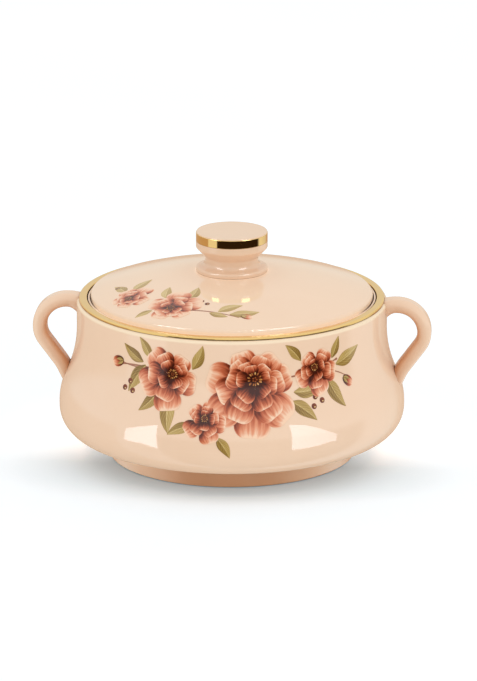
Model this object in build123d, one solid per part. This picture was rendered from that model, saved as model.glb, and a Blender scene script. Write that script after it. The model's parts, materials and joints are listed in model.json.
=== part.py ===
"""Insulated serving casserole with a lift-off lid: body, steel bowl, foam, gold rim, two ear handles and lid.

Millimetres. The origin is the centre of the underside, +Z is up and +X runs along the two handles.
Radii are measured from the Z axis and heights from the surface that the casserole stands on.
"""

from build123d import *
from math import atan2, cos, pi, radians, sin, sqrt, tan
import os

# Fits
RUNNING = 0.05  # a screw, plug or stub in its hole, on the radius
LOOSE = 0.2  # clearance holes and pieces laid in a recess
SOFT = 0.3  # foam and rubber beside what holds them

# Body: the belly is an arc below and an arc above a short upright band, the waist an arc the other way
belly_radius = 121.1
belly_low_height = 35.5
belly_band = 2.5
belly_low_curve = 19.5
belly_high_curve = 44.0
waist_curve = 80.0
underside_slope = 18.0
neck_step = 12.6
body_height = 111.5
shoulder_round = 2.2
body_wall = 2.6
shelf_width = 7.3
shelf_thickness = 2.2
foam_hole_radius = 6.0

# Foot and base cover
foot_height = 10.5
foot_inset = 0.4
foot_taper = 1.2
foot_wall = 2.6
foot_round = 0.8
base_plate_rise = 2.5
base_plate_thickness = 2.4
pad_count = 4
pad_radius = 6.0
pad_stand = 0.4
pad_thickness = 1.6
pad_chamfer = 0.2
pad_cup_wall = 2.0
pad_cup_rise = 0.8
pad_cup_inset = 7.6
plug_flange_radius = 8.5
plug_flange_thickness = 1.4
plug_flange_round = 0.4

# Screws of the base
base_screw_count = 4
base_screw_turn = 45.0
base_screw_inset = 10.0
base_screw_radius = 1.9
base_screw_bite = 8.7
base_screw_spare = 0.9
base_head_radius = 3.8
base_head_height = 2.2
base_head_chamfer = 0.55
base_drive_radius = 1.9
base_drive_depth = 1.1
base_boss_wall = 2.6
base_column_wall = 2.2

# Rim: gasket, steel flange and gold ring are stacked on the shelf inside the neck
flange_depth = 1.9
gasket_thickness = 1.0
gasket_inset = 0.3
ring_width = 5.6
ring_overhang = 0.9
ring_rise = 2.0
ring_edge_round = 1.2
ring_under_round = 0.5
ring_inner_round = 0.6

# Steel bowl
steel_wall = 0.8
flange_show = 5.2
bowl_clearance = 1.1
bowl_taper = 4.0
bowl_corner = 14.0
bowl_lip_round = 1.5

# Lid
lid_gap = 0.6
land_width = 1.3
land_drop = 0.7
land_round = 0.4
groove_width = 0.7
groove_depth = 0.8
dome_height = 19.3
dome_edge_rise = 2.9
dome_edge_round = 2.5
lid_wall = 2.4
seal_thickness = 1.0
seal_reach = 3.6
seal_lip_round = 0.5
pan_wall = 0.6
pan_depth = 9.6
pan_corner = 5.0
plug_gap = 2.0
pan_flange_width = 4.2
lid_ledge_width = 2.7

# Knob
knob_seat_margin = 1.0
knob_flange_radius = 24.9
knob_flange_thickness = 3.2
knob_flange_edge = 0.6
knob_flange_round = 1.6
knob_shoulder_rise = 1.6
knob_neck_radius = 18.6
knob_neck_height = 5.6
knob_neck_fillet = 3.4
knob_throat_fillet = 2.5
knob_head_radius = 25.0
knob_flare_height = 6.8
knob_flare_round = 2.2
knob_lip_height = 4.5
band_height = 6.0
band_thickness = 2.5
band_edge_round = 0.3
cap_edge_inset = 0.3
cap_edge_height = 0.9
cap_edge_round = 0.6
stub_height = 3.2
insert_radius = 3.45
insert_spare = 0.9
knob_screw_radius = 2.0
knob_screw_bite = 8.1
knob_screw_head_radius = 3.8
knob_screw_head_height = 2.6
knob_drive_radius = 2.0
knob_drive_depth = 1.3
knob_washer_radius = 5.5
knob_washer_thickness = 0.8

# Handles: an oval bar that leaves the neck level, turns down and runs back into the waist at its screws
handle_width = 16.0
handle_thickness = 9.8
handle_edge_round = 4.6
handle_reach = 26.3
handle_top_drop = 2.7
handle_top_curve = 19.0
handle_elbow_rise = 21.4
handle_elbow_curve = 16.0
handle_leg_stand = 4.9
handle_leg_rise = 3.2
handle_leg_curve = 36.0
handle_toe_depth = 12.2
handle_toe_in = 5.8
root_length = 6.5
root_flare_under = 6.0
root_flare_side = 1.6
root_dip = 1.6
root_steps = 3
tenon_width = 10.0
tenon_thickness = 2.8
tenon_reach = 6.0
tenon_bite = 0.3
tenon_under_shelf = 1.3
tenon_clearance = 0.1

# Screws of the handles, two side by side in each leg
handle_screw_spacing = 8.4
handle_screw_rise = 21.5
handle_screw_radius = 1.5
handle_screw_bite = 5.4
handle_head_radius = 2.8
handle_head_height = 1.8
handle_boss_radius = 3.6
handle_boss_depth = 4.0
handle_washer_radius = 3.4
handle_washer_thickness = 0.6

# Body and foot: heights and radii that follow from the sizes above
belly_high_height = belly_low_height + belly_band
handle_screw_height = belly_high_height + handle_screw_rise
handle_level = body_height - handle_top_drop
neck_radius = belly_radius - neck_step
neck_inner = neck_radius - body_wall
floor_top = foot_height + body_wall
plate_top = base_plate_rise + base_plate_thickness
base_head_seat = base_plate_rise + base_head_height
base_hole_top = foot_height + base_screw_bite + base_screw_spare
base_boss_top = base_hole_top + body_wall
base_boss_radius = base_screw_radius + RUNNING + base_boss_wall

# Rim and bowl
flange_top = body_height - flange_depth
flange_underside = flange_top - steel_wall
shelf_top = flange_underside - gasket_thickness
shelf_underside = shelf_top - shelf_thickness
shelf_inner = neck_inner - shelf_width
ring_outer = neck_inner + ring_overhang
ring_inner = ring_outer - ring_width
ring_top = body_height + ring_rise
bowl_radius = ring_inner - flange_show
bowl_underside = base_boss_top + bowl_clearance
bowl_floor = bowl_underside + steel_wall

# Lid
lid_radius = ring_inner - lid_gap
dome_side = lid_radius - land_width - groove_width
lid_underside = flange_top + seal_thickness
land_height = ring_top - land_drop
dome_top = ring_top + dome_height
dome_fall = dome_height - dome_edge_rise
dome_curve = (dome_side**2 + dome_fall**2) / (2 * dome_fall)
dome_centre = dome_top - dome_curve
pan_radius = bowl_radius - plug_gap
pan_rim_radius = pan_radius + pan_flange_width
pan_rim_top = lid_underside + pan_wall
pan_floor = lid_underside - pan_depth
lid_inner = pan_rim_radius - lid_ledge_width

# Knob
knob_seat_radius = knob_flange_radius + knob_seat_margin
knob_seat = dome_centre + sqrt(dome_curve**2 - knob_seat_radius**2)
knob_seat_underside = knob_seat - lid_wall
knob_flange_top = knob_seat + knob_flange_thickness
knob_neck_foot = knob_flange_top + knob_shoulder_rise
knob_neck_head = knob_neck_foot + knob_neck_height
knob_lip_foot = knob_neck_head + knob_flare_height
knob_lip_top = knob_lip_foot + knob_lip_height
band_top = knob_lip_top + band_height
stub_radius = knob_head_radius - band_thickness - RUNNING
insert_top = knob_seat + knob_screw_bite + insert_spare

# Arcs of the body's side: centres as (radius, height), and the turn from the upper belly's to the waist's
low_centre = (belly_radius - belly_low_curve, belly_low_height)
high_centre = (belly_radius - belly_high_curve, belly_high_height)
waist_run = neck_radius + waist_curve - high_centre[0]
waist_rise = sqrt((belly_high_curve + waist_curve) ** 2 - waist_run**2)
waist_centre = (high_centre[0] + waist_run, high_centre[1] + waist_rise)
waist_turn = atan2(waist_rise, waist_run)


def turned(*corners):
    """Solid of revolution about Z whose corners are (radius, height), or (radius, height, rounding)."""
    face = make_face(Polyline(*[corner[:2] for corner in corners], close=True))
    return spun(rounded(face, *[corner for corner in corners if len(corner) == 3]))


def rounded(face, *corners):
    """Rounds the corners (radius, height, rounding) of a flat outline."""
    for radius, height, rounding in corners:
        vertex = face.vertices().sort_by_distance((radius, height, 0))[0]
        face = fillet(vertex, rounding)
    return face


def spun(face):
    """Turns a flat outline, drawn as radius and height, once round Z."""
    return revolve(Plane.XZ * face, Axis.Z)


def on_circle(radius, count, first_angle=0.0):
    """Places spaced evenly on a circle about Z, at the height zero."""
    return [
        Location((0, 0, 0), (0, 0, first_angle + 360.0 * i / count)) * Location((radius, 0, 0))
        for i in range(count)
    ]


def rod(radius, bottom, top):
    """Upright cylinder from one height to another."""
    return Pos(0, 0, (bottom + top) / 2) * Cylinder(radius, top - bottom)


def cross_rod(radius, start, end):
    """Cylinder along X from one distance to another."""
    return Pos((start + end) / 2, 0, 0) * Rot(0, 90, 0) * Cylinder(radius, end - start)


def at_angle(centre, reach, angle):
    """Point at a distance and an angle from a centre, level outwards being zero."""
    return (centre[0] + reach * cos(angle), centre[1] + reach * sin(angle))


def body_side(inset):
    """Edges of the body's side, from the underside cone up to the waist's end, moved inwards by inset."""
    cone_turn = radians(underside_slope) - pi / 2
    low_reach = belly_low_curve - inset
    high_reach = belly_high_curve - inset
    waist_reach = waist_curve + inset
    cone_end = at_angle(low_centre, low_reach, cone_turn)
    base = foot_height + inset
    cone_start = (cone_end[0] - (cone_end[1] - base) / tan(radians(underside_slope)), base)
    belly_foot = at_angle(low_centre, low_reach, 0)
    belly_head = at_angle(high_centre, high_reach, 0)
    join = at_angle(high_centre, high_reach, waist_turn)
    waist_end = at_angle(waist_centre, waist_reach, pi)
    edges = [
        Line(cone_start, cone_end),
        ThreePointArc(cone_end, at_angle(low_centre, low_reach, cone_turn / 2), belly_foot),
        Line(belly_foot, belly_head),
        ThreePointArc(belly_head, at_angle(high_centre, high_reach, waist_turn / 2), join),
        ThreePointArc(join, at_angle(waist_centre, waist_reach, pi + waist_turn / 2), waist_end),
    ]
    return edges, cone_start, waist_end


def body_form(inset, top, edge_round=0.0):
    """The body's outer form as a solid, moved inwards by inset, cut off level at a height and rounded there."""
    edges, start, end = body_side(inset)
    rest = Polyline(end, (end[0], top), (0, top), (0, start[1]), start)
    face = make_face(edges + [rest])
    if edge_round:
        face = rounded(face, (end[0], top, edge_round))
    return spun(face)


def dome_at(radius, inset=0.0):
    """Height of the lid's dome at a radius, inset below its surface."""
    return dome_centre + sqrt((dome_curve - inset) ** 2 - radius**2)


def dome_radius_at(height, inset=0.0):
    """Radius at which the dome, inset below its surface, reaches a height."""
    return sqrt((dome_curve - inset) ** 2 - (height - dome_centre) ** 2)


def foot_radii():
    """Outer radius of the foot at its top and at its lower edge."""
    top_radius = body_side(0)[1][0] - foot_inset
    return top_radius, top_radius - foot_taper


def pad_circle():
    """Radius on which the pads lie, just inside the foot's wall."""
    return foot_radii()[1] - foot_wall - pad_cup_inset - pad_cup_wall - pad_radius


def pad_places():
    return on_circle(pad_circle(), pad_count)


def base_screw_places():
    return on_circle(pad_circle() - base_screw_inset, base_screw_count, base_screw_turn)


def handle_screw_places():
    """Axes of the handle screws, each along the local X, on both sides of the body."""
    return [
        Location((0, 0, 0), (0, 0, side)) * Location((0, y, handle_screw_height))
        for side in (0, 180)
        for y in (-handle_screw_spacing / 2, handle_screw_spacing / 2)
    ]


def waist_radius_at(height):
    """Outer radius of the waist's arc at a height."""
    return waist_centre[0] - sqrt(waist_curve**2 - (waist_centre[1] - height) ** 2)


handle_face = waist_radius_at(handle_screw_height)
handle_seat = handle_face - body_wall - handle_boss_depth
tenon_top = shelf_underside - tenon_under_shelf
tenon_middle = tenon_top - tenon_thickness / 2
tenon_end = neck_inner - tenon_reach


def both_sides(solid):
    """A piece at +X and its copy turned half round Z."""
    return [solid, Rot(0, 0, 180) * solid]


def tenon(clearance):
    """Flat tongue of a handle's root, and with a clearance the slot for it."""
    length = neck_radius + tenon_bite - tenon_end + 2 * clearance
    middle = tenon_end - clearance + length / 2
    size = (length, tenon_width + 2 * clearance, tenon_thickness + 2 * clearance)
    return Pos(middle, 0, tenon_middle) * Box(*size)


def outer_shell():
    """Body moulding with its shelf under the rim, its floor and the bosses for the screws."""
    edges, start, end = body_side(0)
    inner, inner_start, inner_end = body_side(body_wall)
    crest = Polyline(
        end,
        (neck_radius, body_height),
        (neck_inner, body_height),
        (neck_inner, shelf_top),
        (shelf_inner, shelf_top),
        (shelf_inner, shelf_underside),
        (neck_inner, shelf_underside),
        inner_end,
    )
    floor = Polyline(inner_start, (foam_hole_radius, floor_top), (foam_hole_radius, foot_height), start)
    outline = rounded(make_face(edges + [crest] + inner + [floor]), (neck_radius, body_height, shoulder_round))
    shell = spun(outline)
    form = body_form(0, body_height)
    for place in base_screw_places():
        shell += place * rod(base_boss_radius, foot_height, base_boss_top)
    for place in handle_screw_places():
        shell += (place * cross_rod(handle_boss_radius, handle_seat, belly_radius)) & form
    for place in base_screw_places():
        shell -= place * rod(base_screw_radius + RUNNING, 0, base_hole_top)
    for place in handle_screw_places():
        shell -= place * cross_rod(handle_screw_radius + LOOSE, 0, belly_radius)
    for slot in both_sides(tenon(tenon_clearance)):
        shell -= slot
    return shell


def base_cover():
    """Foot ring and plate that close the underside, with columns for the screws and cups for the pads."""
    top_radius, low_radius = foot_radii()
    cover = turned(
        (0, base_plate_rise),
        (low_radius - foot_wall, base_plate_rise),
        (low_radius - foot_wall, pad_stand),
        (low_radius, pad_stand, foot_round),
        (top_radius, foot_height),
        (top_radius - foot_wall, foot_height),
        (low_radius - foot_wall, plate_top),
        (0, plate_top),
    )
    head_hole = base_head_radius + LOOSE
    for place in base_screw_places():
        cover += place * rod(head_hole + base_column_wall, base_plate_rise, foot_height)
    for place in pad_places():
        cover += place * rod(pad_radius + pad_cup_wall, pad_cup_rise, plate_top)
    for place in base_screw_places():
        cover -= place * rod(base_screw_radius + LOOSE, 0, floor_top)
        cover -= place * rod(head_hole, 0, base_head_seat)
    for place in pad_places():
        cover -= place * rod(pad_radius + RUNNING, 0, pad_thickness)
    return cover


def base_screws():
    head = rod(base_head_radius, base_plate_rise, base_head_seat)
    screw = rod(base_screw_radius, base_head_seat, foot_height + base_screw_bite)
    screw += chamfer(head.edges().group_by(Axis.Z)[0], base_head_chamfer)
    screw -= rod(base_drive_radius, base_plate_rise, base_plate_rise + base_drive_depth)
    return [place * screw for place in base_screw_places()]


def foot_pads():
    pad = rod(pad_radius, 0, pad_thickness)
    pad = chamfer(pad.edges().group_by(Axis.Z)[0], pad_chamfer)
    return [place * pad for place in pad_places()]


def fill_plug():
    """Plug of the foam hole, pushed in from below up to its flange."""
    return turned(
        (0, foot_height - plug_flange_thickness),
        (plug_flange_radius, foot_height - plug_flange_thickness, plug_flange_round),
        (plug_flange_radius, foot_height),
        (foam_hole_radius - RUNNING, foot_height),
        (foam_hole_radius - RUNNING, floor_top),
        (0, floor_top),
    )


def bowl_edges():
    """Radii of the bowl at its floor and mouth, and what its slanted wall adds to a level thickness."""
    slope = radians(bowl_taper)
    floor_radius = bowl_radius - (flange_top - bowl_floor) * tan(slope)
    return floor_radius, steel_wall / cos(slope) - steel_wall * tan(slope)


def steel_liner():
    """Pressed steel bowl with a rolled mouth and the flange that lies on the gasket."""
    floor_radius, slant = bowl_edges()
    flange_radius = neck_inner - SOFT
    return turned(
        (0, bowl_floor),
        (floor_radius, bowl_floor, bowl_corner),
        (bowl_radius, flange_top, bowl_lip_round + steel_wall),
        (flange_radius, flange_top),
        (flange_radius, flange_underside),
        (bowl_radius + slant, flange_underside, bowl_lip_round),
        (floor_radius + slant, bowl_underside, bowl_corner + steel_wall),
        (0, bowl_underside),
    )


def rim_gasket():
    inner = shelf_inner + gasket_inset
    outer = neck_inner - gasket_inset
    return turned((inner, shelf_top), (outer, shelf_top), (outer, flange_underside), (inner, flange_underside))


def rim_ring():
    """Gold ring: its leg stands on the steel flange and its crown covers the body's top edge."""
    leg = neck_inner - RUNNING
    return turned(
        (ring_inner, flange_top),
        (leg, flange_top),
        (leg, body_height),
        (ring_outer, body_height, ring_under_round),
        (ring_outer, ring_top, ring_edge_round),
        (ring_inner, ring_top, ring_inner_round),
    )


def foam_core():
    """Foam between the bowl and the body, moulded round the bosses, screws and tenons."""
    floor_radius, slant = bowl_edges()
    wide = slant + SOFT
    top = shelf_underside - SOFT
    foam = body_form(body_wall + SOFT, top)
    foam -= turned(
        (0, bowl_underside - SOFT),
        (floor_radius + wide, bowl_underside - SOFT, bowl_corner + steel_wall + SOFT),
        (bowl_radius + wide, flange_top),
        (0, flange_top),
    )
    for place in base_screw_places():
        foam -= place * rod(base_boss_radius + SOFT, 0, base_boss_top + SOFT)
    head = handle_seat - handle_washer_thickness - handle_head_height - SOFT
    for place in handle_screw_places():
        foam -= place * cross_rod(handle_boss_radius + SOFT, head, belly_radius)
    for slot in both_sides(tenon(tenon_clearance + SOFT)):
        foam -= slot
    return foam


def handle_path():
    """Middle line of the right handle's bar, from the end of its root to inside the belly."""
    reach = neck_radius + handle_reach
    leg_height = handle_screw_height + handle_leg_rise
    leg = (waist_radius_at(leg_height) + handle_leg_stand, leg_height)
    elbow_height = leg_height + handle_elbow_rise
    elbow_turn = atan2(reach - leg[0], handle_elbow_rise)
    straight = handle_level - elbow_height - handle_elbow_curve * tan(elbow_turn / 2)
    points = [
        (neck_radius + root_length, 0, handle_level),
        (reach, 0, handle_level),
        (reach, 0, elbow_height),
        (leg[0], 0, leg[1]),
        (leg[0] - handle_toe_in, 0, leg[1] - handle_toe_depth),
    ]
    top_curve = min(handle_top_curve, straight - RUNNING, handle_reach - root_length - RUNNING)
    return FilletPolyline(*points, radius=[top_curve, handle_elbow_curve, handle_leg_curve])


def root_section(share):
    """Section of a handle's root, from under the ring's edge, at share 0, to the bar, at share 1."""
    start = neck_radius - shoulder_round
    flare = (1 - share) ** 2
    thickness = handle_thickness + (root_flare_under - root_dip) * flare
    width = handle_width + 2 * root_flare_side * flare
    middle = handle_level - (root_flare_under + root_dip) / 2 * flare
    across = start + (neck_radius + root_length - start) * share
    plane = Plane(origin=(across, 0, middle), x_dir=(0, 1, 0), z_dir=(1, 0, 0))
    return plane * RectangleRounded(width, thickness, handle_edge_round)


def handle():
    """Right handle: bar, flared root and tenon, trimmed to the body's side and to the ring."""
    path = handle_path()
    section = RectangleRounded(handle_width, handle_thickness, handle_edge_round)
    bar = sweep(Plane(origin=path @ 0, x_dir=(0, 1, 0), z_dir=path % 0) * section, path=path)
    bar += loft([root_section(step / root_steps) for step in range(root_steps + 1)])
    bar -= body_form(0, body_height, shoulder_round)
    bar -= rod(ring_outer + RUNNING, body_height - shoulder_round, body_height + handle_thickness)
    bar += tenon(0)
    bite = handle_face + handle_screw_bite
    for place in handle_screw_places()[:2]:
        bar -= place * cross_rod(handle_screw_radius + RUNNING, 0, bite)
    return bar


def handle_screws():
    """Short screws from inside the body through its bosses into the handles' legs."""
    seat = handle_seat - handle_washer_thickness
    end = handle_face + handle_screw_bite - LOOSE
    screw = cross_rod(handle_screw_radius, seat, end)
    screw += cross_rod(handle_head_radius, seat - handle_head_height, seat)
    return [place * screw for place in handle_screw_places()]


def handle_washers():
    washer = cross_rod(handle_washer_radius, handle_seat - handle_washer_thickness, handle_seat)
    washer -= cross_rod(handle_screw_radius + RUNNING, 0, handle_seat)
    return [place * washer for place in handle_screw_places()]


def lid_cover():
    """Domed lid moulding: flat seat for the knob, rounded edge, groove, narrow land and seated rim."""
    screw_hole = knob_screw_radius + LOOSE
    under_edge = dome_radius_at(knob_seat_underside, lid_wall)
    groove_bottom = land_height - groove_depth
    recess = pan_rim_radius + LOOSE
    outside = Polyline((screw_hole, knob_seat), (knob_seat_radius, knob_seat))
    middle = (knob_seat_radius + dome_side) / 2
    dome = ThreePointArc((knob_seat_radius, knob_seat), (middle, dome_at(middle)), (dome_side, dome_at(dome_side)))
    rim = Polyline(
        (dome_side, dome_at(dome_side)),
        (dome_side, groove_bottom),
        (dome_side + groove_width, groove_bottom),
        (dome_side + groove_width, land_height),
        (lid_radius, land_height),
        (lid_radius, lid_underside),
        (recess, lid_underside),
        (recess, pan_rim_top),
        (lid_inner, pan_rim_top),
        (lid_inner, dome_at(lid_inner, lid_wall)),
    )
    middle = (under_edge + lid_inner) / 2
    ceiling = ThreePointArc(
        (lid_inner, dome_at(lid_inner, lid_wall)),
        (middle, dome_at(middle, lid_wall)),
        (under_edge, knob_seat_underside),
    )
    inside = Polyline((under_edge, knob_seat_underside), (screw_hole, knob_seat_underside), (screw_hole, knob_seat))
    return spun(
        rounded(
            make_face([outside, dome, rim, ceiling, inside]),
            (dome_side, dome_at(dome_side), dome_edge_round),
            (lid_radius, land_height, land_round),
        )
    )


def lid_liner():
    """Steel pan under the lid, whose flange lies in the cover's ledge."""
    return turned(
        (0, pan_floor),
        (pan_radius, pan_floor, pan_corner),
        (pan_radius, lid_underside),
        (pan_rim_radius, lid_underside),
        (pan_rim_radius, pan_rim_top),
        (pan_radius - pan_wall, pan_rim_top),
        (pan_radius - pan_wall, pan_floor + pan_wall, pan_corner - pan_wall),
        (0, pan_floor + pan_wall),
    )


def lid_seal():
    """Silicone ring with a lip that hangs in the bowl's mouth and a flat part under the lid's rim."""
    inner = pan_radius + SOFT
    lip = bowl_radius - SOFT
    outer = lid_radius - LOOSE
    return turned(
        (inner, flange_top - seal_reach),
        (lip, flange_top - seal_reach, seal_lip_round),
        (lip, flange_top),
        (outer, flange_top),
        (outer, lid_underside),
        (inner, lid_underside),
    )


def lid_foam():
    """Insulation between the cover and the pan, with a pocket for the knob's screw."""
    side = pan_radius - pan_wall - SOFT
    shoulder = lid_inner - SOFT
    inset = lid_wall + SOFT
    floor = pan_floor + pan_wall + SOFT
    top = knob_seat_underside - SOFT
    edge = dome_radius_at(top, inset)
    middle = (edge + shoulder) / 2
    crown = ThreePointArc((shoulder, dome_at(shoulder, inset)), (middle, dome_at(middle, inset)), (edge, top))
    rest = Polyline(
        (edge, top),
        (0, top),
        (0, floor),
        (side, floor),
        (side, pan_rim_top + SOFT),
        (shoulder, pan_rim_top + SOFT),
        (shoulder, dome_at(shoulder, inset)),
    )
    foam = spun(rounded(make_face([crown, rest]), (side, floor, pan_corner - pan_wall)))
    pocket_floor = knob_seat_underside - knob_washer_thickness - knob_screw_head_height - SOFT
    return foam - rod(knob_washer_radius + SOFT, pocket_floor, knob_seat)


def knob_body():
    """Turned knob: flange, waist, flared head and the stub that carries the band and the cap."""
    return turned(
        (insert_radius + RUNNING, knob_seat),
        (knob_flange_radius, knob_seat, knob_flange_edge),
        (knob_flange_radius, knob_flange_top, knob_flange_round),
        (knob_neck_radius, knob_neck_foot, knob_neck_fillet),
        (knob_neck_radius, knob_neck_head, knob_throat_fillet),
        (knob_head_radius, knob_lip_foot, knob_flare_round),
        (knob_head_radius, knob_lip_top),
        (stub_radius, knob_lip_top),
        (stub_radius, knob_lip_top + stub_height),
        (0, knob_lip_top + stub_height),
        (0, insert_top),
        (insert_radius + RUNNING, insert_top),
    )


def knob_band():
    return turned(
        (stub_radius + RUNNING, knob_lip_top),
        (knob_head_radius, knob_lip_top, band_edge_round),
        (knob_head_radius, band_top, band_edge_round),
        (stub_radius + RUNNING, band_top),
    )


def knob_cap():
    """Disc on top of the knob, with a spigot down inside the band."""
    edge = knob_head_radius - cap_edge_inset
    top = band_top + cap_edge_height
    return turned(
        (0, knob_lip_top + stub_height),
        (stub_radius, knob_lip_top + stub_height),
        (stub_radius, band_top),
        (edge, band_top),
        (edge, top, cap_edge_round),
        (0, top),
    )


def knob_insert():
    sleeve = rod(insert_radius, knob_seat, insert_top)
    return sleeve - rod(knob_screw_radius + RUNNING, knob_seat, insert_top)


def knob_screw():
    seat = knob_seat_underside - knob_washer_thickness
    screw = rod(knob_screw_radius, seat, knob_seat + knob_screw_bite)
    screw += rod(knob_screw_head_radius, seat - knob_screw_head_height, seat)
    base = seat - knob_screw_head_height
    return screw - rod(knob_drive_radius, base, base + knob_drive_depth)


def knob_washer():
    washer = rod(knob_washer_radius, knob_seat_underside - knob_washer_thickness, knob_seat_underside)
    return washer - rod(knob_screw_radius + RUNNING, 0, knob_seat)


def build():
    """Every piece of the casserole by its node's name."""
    right = handle()
    return {
        "outer_shell": outer_shell(),
        "base_cover": base_cover(),
        "base_screws": base_screws(),
        "foot_pads": foot_pads(),
        "fill_plug": fill_plug(),
        "foam_core": foam_core(),
        "steel_liner": steel_liner(),
        "rim_gasket": rim_gasket(),
        "rim_ring": rim_ring(),
        "right_handle": right,
        "left_handle": mirror(right, about=Plane.YZ),
        "handle_screws": handle_screws(),
        "handle_washers": handle_washers(),
        "lid_cover": lid_cover(),
        "lid_liner": lid_liner(),
        "lid_seal": lid_seal(),
        "lid_foam": lid_foam(),
        "knob_body": knob_body(),
        "knob_band": knob_band(),
        "knob_cap": knob_cap(),
        "knob_insert": knob_insert(),
        "knob_screw": knob_screw(),
        "knob_washer": knob_washer(),
    }


os.makedirs("parts", exist_ok=True)
for name, piece in build().items():
    shape = Compound(children=piece) if isinstance(piece, list) else piece
    export_step(shape, f"parts/{name}.step")
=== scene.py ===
"""Looks of the insulated serving casserole: finishes, printed flower sprays, floor, light and camera.

Metres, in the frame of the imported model: +Z up along the axis, +X along the two handles, front at -Y.
"""

import json
from math import cos, pi, radians, sin
from random import Random

import bpy
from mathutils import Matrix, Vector


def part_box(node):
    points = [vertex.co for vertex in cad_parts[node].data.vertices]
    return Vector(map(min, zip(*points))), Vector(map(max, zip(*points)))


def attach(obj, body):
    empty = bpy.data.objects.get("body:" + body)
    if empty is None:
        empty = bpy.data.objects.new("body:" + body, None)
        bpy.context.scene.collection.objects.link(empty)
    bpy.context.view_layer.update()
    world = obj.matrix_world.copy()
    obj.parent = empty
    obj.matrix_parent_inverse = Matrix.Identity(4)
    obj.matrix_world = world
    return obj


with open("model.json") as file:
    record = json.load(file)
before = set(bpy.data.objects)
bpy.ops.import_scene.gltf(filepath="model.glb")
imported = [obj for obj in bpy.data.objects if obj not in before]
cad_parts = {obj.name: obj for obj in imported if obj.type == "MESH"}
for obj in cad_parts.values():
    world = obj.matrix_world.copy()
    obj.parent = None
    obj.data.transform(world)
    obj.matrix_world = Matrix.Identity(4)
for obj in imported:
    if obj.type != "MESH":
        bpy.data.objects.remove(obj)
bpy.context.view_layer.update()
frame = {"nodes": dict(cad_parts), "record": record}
nodes = frame["nodes"]

# View: the camera's bearing from the front, its rise, distance and lens, and the point that it looks at
VIEW_BEARING = radians(3.95)
VIEW_RISE = radians(16.5)
VIEW_DISTANCE = 3.5
VIEW_LENS = 264.1
VIEW_SENSOR = 36.0
NEAREST_IN_VIEW = 0.05
AIM_HEIGHT = 0.0804
AIM_TO_THE_RIGHT = 0.00465

# Light: strength of the tent, and the lamp's place, size, power and the point that it shines at
TENT_LIGHT = 0.96
LAMP_PLACE = (1.1, -1.3, 0.9)
LAMP_SIZE = 0.8
LAMP_POWER = 1.5
LAMP_AIM = (0, 0, 0.08)

# Windows that the belly reflects, as corners close in front of it. A fade is the axis that it runs along,
# how far from the origin it starts and ends, and the strength at each
WINDOW_GLOW = (6.0, 6.0, 6.7)
LEFT_WINDOW = (
    (-0.1124, -0.1165, 0.0264),
    (-0.1123, -0.1185, 0.0466),
    (-0.0777, -0.1435, 0.0665),
    (-0.0774, -0.1461, 0.0209),
)
LEFT_FADE = ("X", 0.085, 0.112, 1.0, 0.8)
RIGHT_WINDOW = (
    (0.0787, -0.1424, 0.0717),
    (0.0962, -0.1318, 0.0667),
    (0.1267, -0.1032, 0.0352),
    (0.1246, -0.1033, 0.0239),
    (0.0821, -0.1449, 0.0211),
)
RIGHT_FADE = ("X", 0.085, 0.125, 1.0, 0.65)

# Lit panes farther off, as bearing and rise in degrees, distance, width and height: those that brighten the
# foot's sides, those that glint on the knob, and those that streak the lid
FOOT_PANES = {"foot_left": (-90, -20, 0.6, 1.3, 0.5), "foot_right": (90, -20, 0.6, 1.3, 0.5)}
FOOT_GLOW = (2.6, 3.4, 3.2)
FOOT_FADE = ("Y", 0.15, 0.6, 1.0, 0.0)
KNOB_PANES = {"knob_left": (-61, 38, 2.0, 0.8, 1.66), "knob_right": (59, 38, 2.0, 0.9, 1.66)}
KNOB_GLOW = (7.0, 7.0, 7.2)
KNOB_FADE = ("Z", 0.8, 1.2, 0.1, 1.0)
LID_PANES = {"lid_left": (-61, 53, 2.0, 0.8, 0.6), "lid_right": (59, 53, 2.0, 0.9, 0.6)}
LID_GLOW = (12.0, 12.0, 12.3)

# The room that polished surfaces reflect, by bearing from the front. Below the horizon it is dark between
# the two open bearings and dim beyond the two dim ones. A blur is half the width of an edge
OPEN_LEFT = radians(-45)
OPEN_LEFT_BLUR = 0.03
OPEN_RIGHT = radians(100)
OPEN_RIGHT_BLUR = 0.1
DIM_LEFT = radians(-78)
DIM_LEFT_BLUR = 0.05
DIM_RIGHT = radians(145)
DIM_RIGHT_BLUR = 0.15
HORIZON = -0.02
HORIZON_BLUR = 0.08
OPEN_SHADE = (0.030, 0.016, 0.008)
DIM_SHADE = (0.66, 0.46, 0.32)

# The room's warm back wall: how far back in a direction of length one it starts and is full, and how high in
# one it ends and is full
WALL_BACK = (0.3, 0.8)
WALL_TOP = (0.75, 0.15)
WALL_SHADE = (0.83, 0.80, 0.72)

# Floor: its size, whites and own glow, the painted shade close round the foot, the painted oval shadow round
# a point in front of the axis, and where the floor behind the axis gets painted light next to the casserole
FLOOR_SIZE = 8.0
FLOOR_GREY = (0.94, 0.93, 0.94)
FLOOR_WHITE = (0.96, 0.95, 0.96)
FLOOR_GLOW = (0.085, 0.152, 0.18)
CONTACT_REACH = 0.016
CONTACT_SHADE = (0.38, 0.47, 0.54)
SHADOW_AHEAD = 0.055
SHADOW_HALF_WIDTH = 0.165
SHADOW_HALF_DEPTH = 0.07
SHADOW_SHADE = (0.72, 0.73, 0.74)
BACK_STRIP = (-0.035, 0.01)
BACK_REACH = 0.08
BACK_LIGHT = 0.45

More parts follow.
